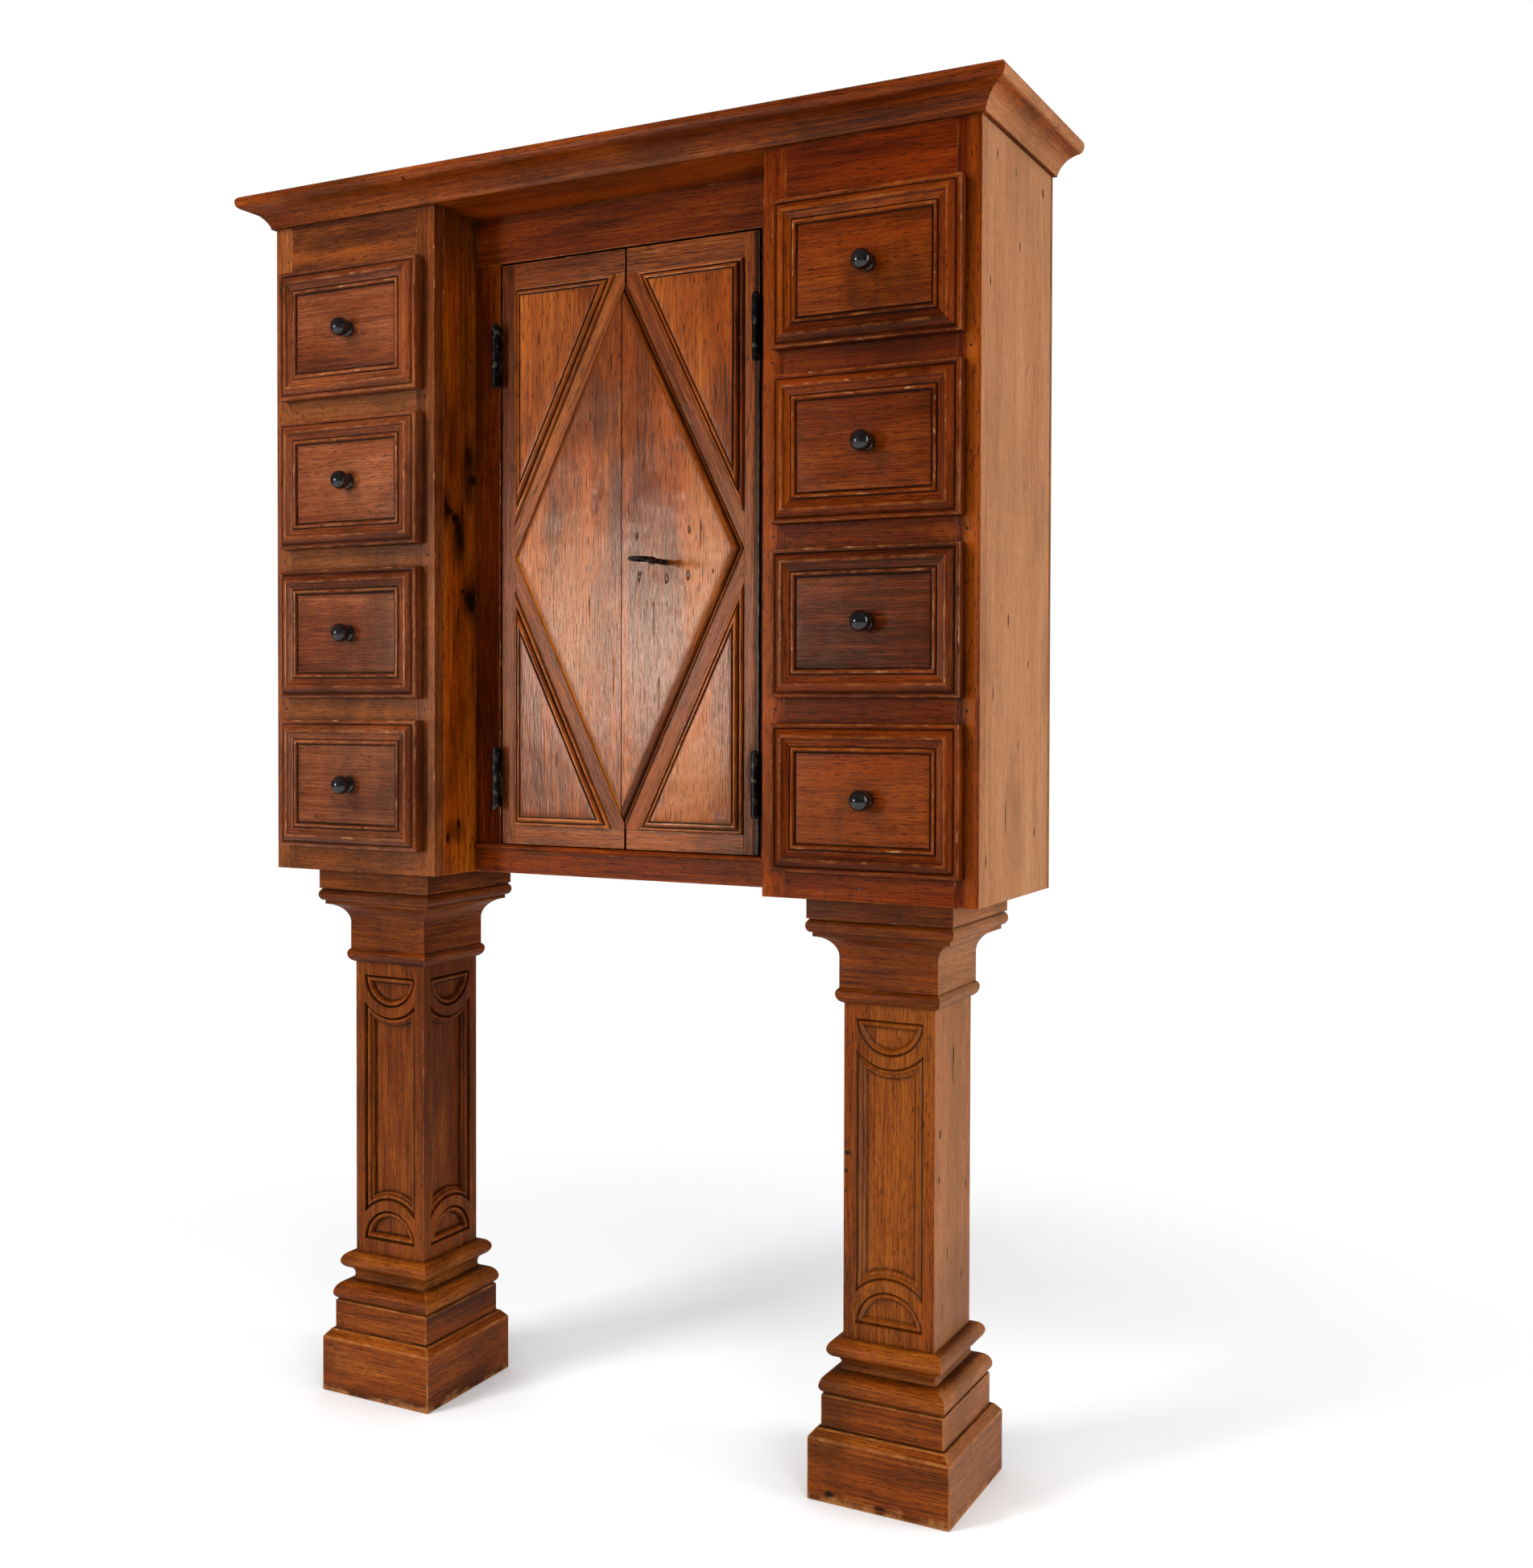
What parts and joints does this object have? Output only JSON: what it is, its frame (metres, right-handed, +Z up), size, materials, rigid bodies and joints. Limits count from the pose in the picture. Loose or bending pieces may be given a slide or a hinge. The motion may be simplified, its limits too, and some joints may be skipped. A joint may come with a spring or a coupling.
{
  "type": "coin cabinet",
  "caption": "Walnut cabinet on square carved column legs: banks of moulded drawers beside a recessed cupboard with a pair of lozenge-panelled doors, lock and key.",
  "frame": {"origin": "on the floor, below the middle of the bounding box", "axes": "+X to the viewer's right, +Y towards the back, +Z up; the drawers and doors face -Y"},
  "size_m": [1.2642, 0.3419, 1.8967],
  "materials": {
    "case_walnut": "waxed, worn",
    "front_walnut": "waxed, darker",
    "moulding_walnut": "waxed, worn edges",
    "leg_walnut": "waxed, worn",
    "inside_wood": "unfinished",
    "black_knob": "polished black",
    "iron": "dark, dull"
  },
  "bodies": {
    "case": {"left_side_panel": "case_walnut", "left_inner_panel": "case_walnut", "right_inner_panel": "case_walnut", "right_side_panel": "case_walnut", "top_board": "case_walnut", "back_boards": "inside_wood", "floor_boards": "inside_wood", "left_face_frame": "case_walnut", "right_face_frame": "case_walnut", "drawer_runners": "inside_wood", "cornice_moulding": "moulding_walnut", "frieze_rail": "case_walnut", "niche_foot_rail": "case_walnut", "door_jambs": "case_walnut", "cupboard_shelves": "inside_wood", "jamb_hinges": "iron", "left_leg_plinth": "leg_walnut", "left_leg_base": "leg_walnut", "left_leg_shaft": "leg_walnut", "left_leg_capital": "leg_walnut", "right_leg_plinth": "leg_walnut", "right_leg_base": "leg_walnut", "right_leg_shaft": "leg_walnut", "right_leg_capital": "leg_walnut"},
    "drawer_l1": {"drawer_l1_front": "front_walnut", "drawer_l1_box": "inside_wood", "drawer_l1_knob": "black_knob"},
    "drawer_l2": {"drawer_l2_front": "front_walnut", "drawer_l2_box": "inside_wood", "drawer_l2_knob": "black_knob"},
    "drawer_l3": {"drawer_l3_front": "front_walnut", "drawer_l3_box": "inside_wood", "drawer_l3_knob": "black_knob"},
    "drawer_l4": {"drawer_l4_front": "front_walnut", "drawer_l4_box": "inside_wood", "drawer_l4_knob": "black_knob"},
    "drawer_r1": {"drawer_r1_front": "front_walnut", "drawer_r1_box": "inside_wood", "drawer_r1_knob": "black_knob"},
    "drawer_r2": {"drawer_r2_front": "front_walnut", "drawer_r2_box": "inside_wood", "drawer_r2_knob": "black_knob"},
    "drawer_r3": {"drawer_r3_front": "front_walnut", "drawer_r3_box": "inside_wood", "drawer_r3_knob": "black_knob"},
    "drawer_r4": {"drawer_r4_front": "front_walnut", "drawer_r4_box": "inside_wood", "drawer_r4_knob": "black_knob"},
    "left_door": {"left_door_frame": "case_walnut", "left_door_panels": "case_walnut", "left_door_hinges": "iron", "bolt_staples": "iron"},
    "right_door": {"right_door_frame": "case_walnut", "right_door_panels": "case_walnut", "right_door_hinges": "iron", "lock_case": "iron"},
    "key": {"door_key": "iron"},
    "lock_bolt": {"lock_bolt": "iron"},
    "door_bolt": {"left_door_bolt": "iron"}
  },
  "joints": [
    {"name": "drawer_l1_slide", "type": "slide", "parent": "case", "child": "drawer_l1", "axis": [0, -1, 0], "range_m": [0, 0.2]},
    {"name": "drawer_l2_slide", "type": "slide", "parent": "case", "child": "drawer_l2", "axis": [0, -1, 0], "range_m": [0, 0.2]},
    {"name": "drawer_l3_slide", "type": "slide", "parent": "case", "child": "drawer_l3", "axis": [0, -1, 0], "range_m": [0, 0.2]},
    {"name": "drawer_l4_slide", "type": "slide", "parent": "case", "child": "drawer_l4", "axis": [0, -1, 0], "range_m": [0, 0.2]},
    {"name": "drawer_r1_slide", "type": "slide", "parent": "case", "child": "drawer_r1", "axis": [0, -1, 0], "range_m": [0, 0.2]},
    {"name": "drawer_r2_slide", "type": "slide", "parent": "case", "child": "drawer_r2", "axis": [0, -1, 0], "range_m": [0, 0.2]},
    {"name": "drawer_r3_slide", "type": "slide", "parent": "case", "child": "drawer_r3", "axis": [0, -1, 0], "range_m": [0, 0.2]},
    {"name": "drawer_r4_slide", "type": "slide", "parent": "case", "child": "drawer_r4", "axis": [0, -1, 0], "range_m": [0, 0.2]},
    {"name": "left_door_hinge", "type": "hinge", "parent": "case", "child": "left_door", "pos_m": [-0.22825, -0.0336, 1.33], "axis": [0, 0, -1], "range_deg": [0, 100]},
    {"name": "right_door_hinge", "type": "hinge", "parent": "case", "child": "right_door", "pos_m": [0.22025, -0.0336, 1.33], "axis": [0, 0, 1], "range_deg": [0, 100]},
    {"name": "key_turn", "type": "hinge", "parent": "right_door", "child": "key", "pos_m": [0.071, -0.0296, 1.311], "axis": [0, -1, 0], "range_deg": [0, 180]},
    {"name": "lock_bolt_slide", "type": "slide", "parent": "right_door", "child": "lock_bolt", "axis": [-1, 0, 0], "range_m": [0, 0.016]},
    {"name": "door_bolt_slide", "type": "slide", "parent": "left_door", "child": "door_bolt", "axis": [0, 0, 1], "range_m": [0, 0.014]}
  ],
  "couplings": [
    {"joint": "lock_bolt_slide", "follows": "key_turn", "m_per_rad": 0.005093}
  ]
}
